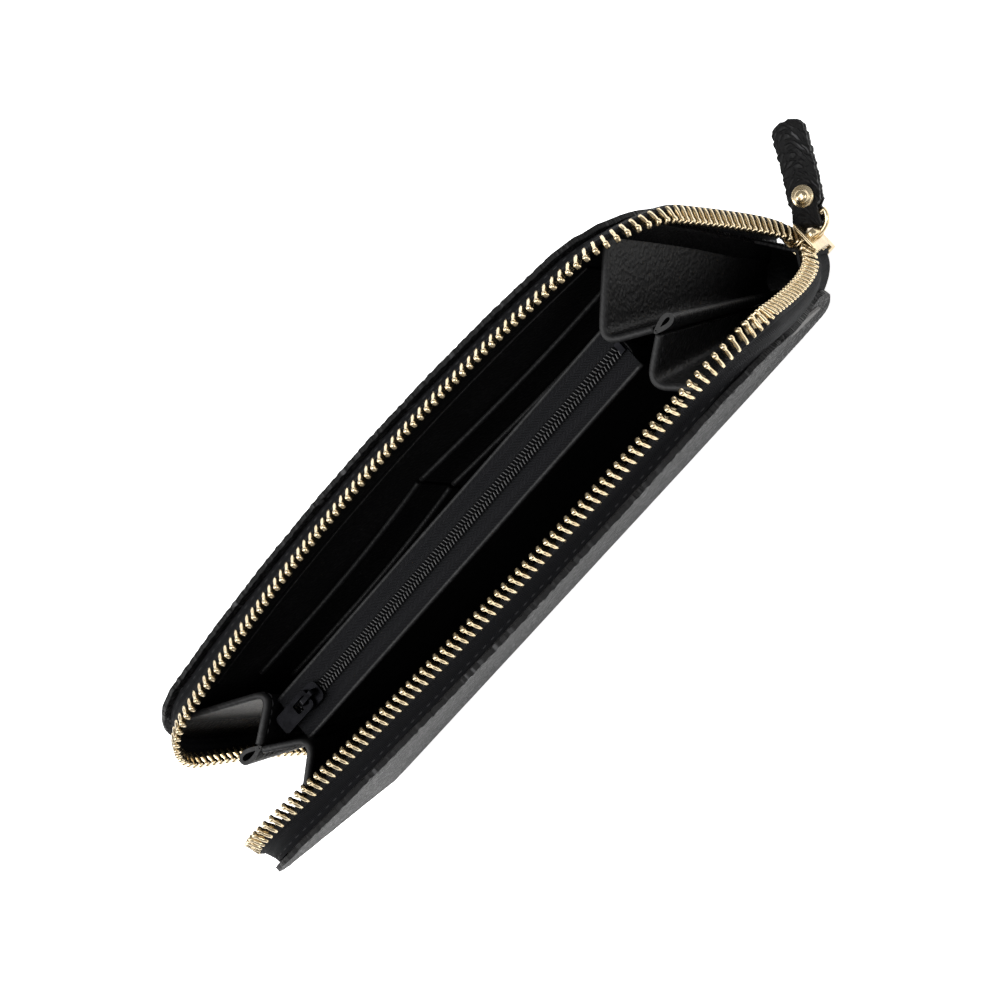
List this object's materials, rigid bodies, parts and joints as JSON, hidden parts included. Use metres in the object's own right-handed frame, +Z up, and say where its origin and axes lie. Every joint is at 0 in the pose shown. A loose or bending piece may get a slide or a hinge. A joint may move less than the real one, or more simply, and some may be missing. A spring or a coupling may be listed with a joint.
{
  "type": "zip around wallet",
  "caption": "Long zip around wallet with card slots, a middle coin pocket, folded end gussets and a leather zip pull.",
  "frame": {"origin": "centre of the spine's underside, on which the wallet stands", "axes": "+X along the wallet towards the zip slider, +Y from the front cover to the back cover, +Z up from the spine to the mouth"},
  "size_m": [0.217, 0.0568, 0.0932],
  "materials": {
    "outer_leather": "embossed, semi gloss",
    "lining_leather": "fine grain, satin",
    "board": "matt",
    "zip_tape": "woven twill",
    "gold_metal": "polished pale gold plate",
    "coil_plastic": "satin",
    "black_metal": "black enamel"
  },
  "bodies": {
    "spine": {"spine_leather": "outer_leather", "spine_board": "board", "spine_lining": "lining_leather", "coin_pocket_back_wall": "lining_leather", "coin_pocket_front_wall": "lining_leather", "coin_zip_back_tape": "zip_tape", "coin_zip_front_tape": "zip_tape", "coin_zip_coil": "coil_plastic", "coin_zip_stops": "black_metal", "zip_bottom_stop": "gold_metal", "zip_top_stops": "gold_metal"},
    "back_cover": {"back_cover_leather": "outer_leather", "back_cover_board": "board", "back_cover_lining": "lining_leather", "card_panel": "lining_leather", "card_slots_upper": "lining_leather", "card_slots_middle": "lining_leather", "card_slots_lower": "lining_leather", "back_zip_tape_mouth": "zip_tape", "back_zip_teeth_mouth": "gold_metal", "back_zip_tape_left": "zip_tape", "back_zip_tape_right": "zip_tape", "back_zip_teeth_left": "gold_metal", "back_zip_teeth_right": "gold_metal", "left_gusset_back": "lining_leather", "right_gusset_back": "lining_leather"},
    "front_cover": {"front_cover_leather": "outer_leather", "front_cover_board": "board", "front_cover_lining": "lining_leather", "slip_pocket": "lining_leather", "front_zip_tape_mouth": "zip_tape", "front_zip_teeth_mouth": "gold_metal", "front_zip_tape_left": "zip_tape", "front_zip_tape_right": "zip_tape", "front_zip_teeth_left": "gold_metal", "front_zip_teeth_right": "gold_metal", "left_gusset_front": "lining_leather", "right_gusset_front": "lining_leather"},
    "slider": {"slider_body": "gold_metal", "slider_bridge": "gold_metal"},
    "pull_ring": {"pull_ring": "gold_metal"},
    "pull_tab": {"pull_tab": "outer_leather", "pull_stud": "gold_metal"},
    "coin_slider": {"coin_slider": "black_metal", "coin_slider_bridge": "black_metal"},
    "coin_pull": {"coin_pull": "black_metal"}
  },
  "joints": [
    {"name": "zip_travel", "type": "slide", "parent": "spine", "child": "slider", "axis": [0, 0, 1], "range_m": [0, 0.03]},
    {"name": "back_fold", "type": "hinge", "parent": "spine", "child": "back_cover", "pos_m": [0, 0.00885, 0.001], "axis": [1, 0, 0], "range_deg": [0, 7.5], "deforming": ["back_zip_tape_left", "back_zip_tape_right", "back_zip_teeth_left", "back_zip_teeth_right", "left_gusset_back", "right_gusset_back"]},
    {"name": "front_fold", "type": "hinge", "parent": "spine", "child": "front_cover", "pos_m": [0, -0.00885, 0.001], "axis": [1, 0, 0], "range_deg": [-11.5, 0], "deforming": ["front_zip_tape_left", "front_zip_tape_right", "front_zip_teeth_left", "front_zip_teeth_right", "left_gusset_front", "right_gusset_front"]},
    {"name": "ring_swing", "type": "hinge", "parent": "slider", "child": "pull_ring", "pos_m": [0.09795, 0, 0.0217], "axis": [-0.5, 0.866, 0], "range_deg": [-30, 30]},
    {"name": "tab_swing", "type": "hinge", "parent": "pull_ring", "child": "pull_tab", "pos_m": [0.10245, 0.0026, 0.0217], "axis": [-0.809, 0.5878, 0], "range_deg": [-60, 35]},
    {"name": "coin_zip_travel", "type": "slide", "parent": "spine", "child": "coin_slider", "axis": [1, 0, 0], "range_m": [0, 0.112]},
    {"name": "coin_pull_swing", "type": "hinge", "parent": "coin_slider", "child": "coin_pull", "pos_m": [-0.054, 0, 0.07938], "axis": [0, 1, 0], "range_deg": [0, 150]}
  ],
  "couplings": [
    {"joint": "back_fold", "follows": "zip_travel", "rad_per_m": 4.3633},
    {"joint": "front_fold", "follows": "zip_travel", "rad_per_m": -6.6904}
  ]
}
